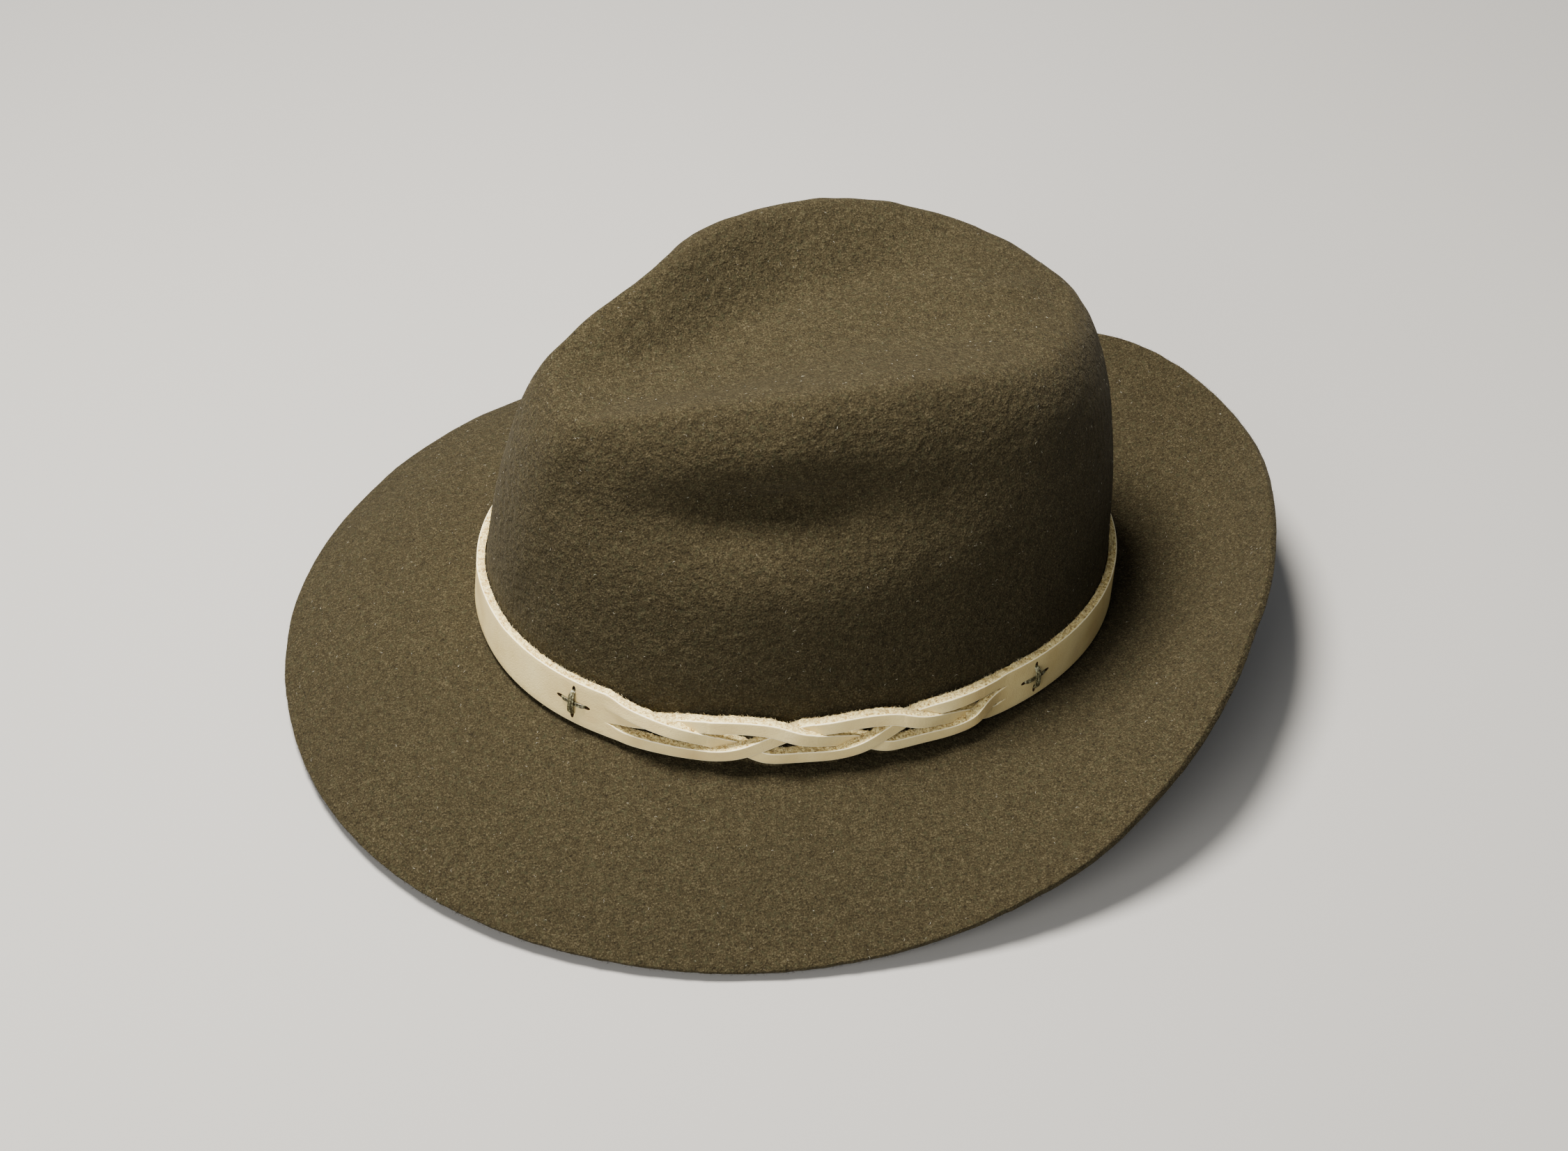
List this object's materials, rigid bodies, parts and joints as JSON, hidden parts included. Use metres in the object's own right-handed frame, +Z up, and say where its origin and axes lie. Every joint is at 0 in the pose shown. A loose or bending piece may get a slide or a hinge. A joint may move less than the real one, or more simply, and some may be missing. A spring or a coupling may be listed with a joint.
{
  "type": "fedora",
  "caption": "Felt fedora with a pinched teardrop crown, raw-edged brim snapped down in front and up behind, and a leather band with a braid and thread stitches.",
  "frame": {"origin": "bottom centre of the hat's box, on the surface it rests on", "axes": "-Y is the front of the hat, +X the wearer's left side with the braid, +Z up"},
  "size_m": [0.3026, 0.3322, 0.1353],
  "materials": {
    "felt": "olive-brown wool felt, raw cut edge",
    "leather": "undyed vegetable-tanned leather, rough cut edges",
    "thread": "olive waxed thread"
  },
  "bodies": {
    "root": {"felt_body": "felt", "hat_band": "leather", "cross_stitch_front": "thread", "cross_stitch_rear": "thread"}
  },
  "joints": []
}
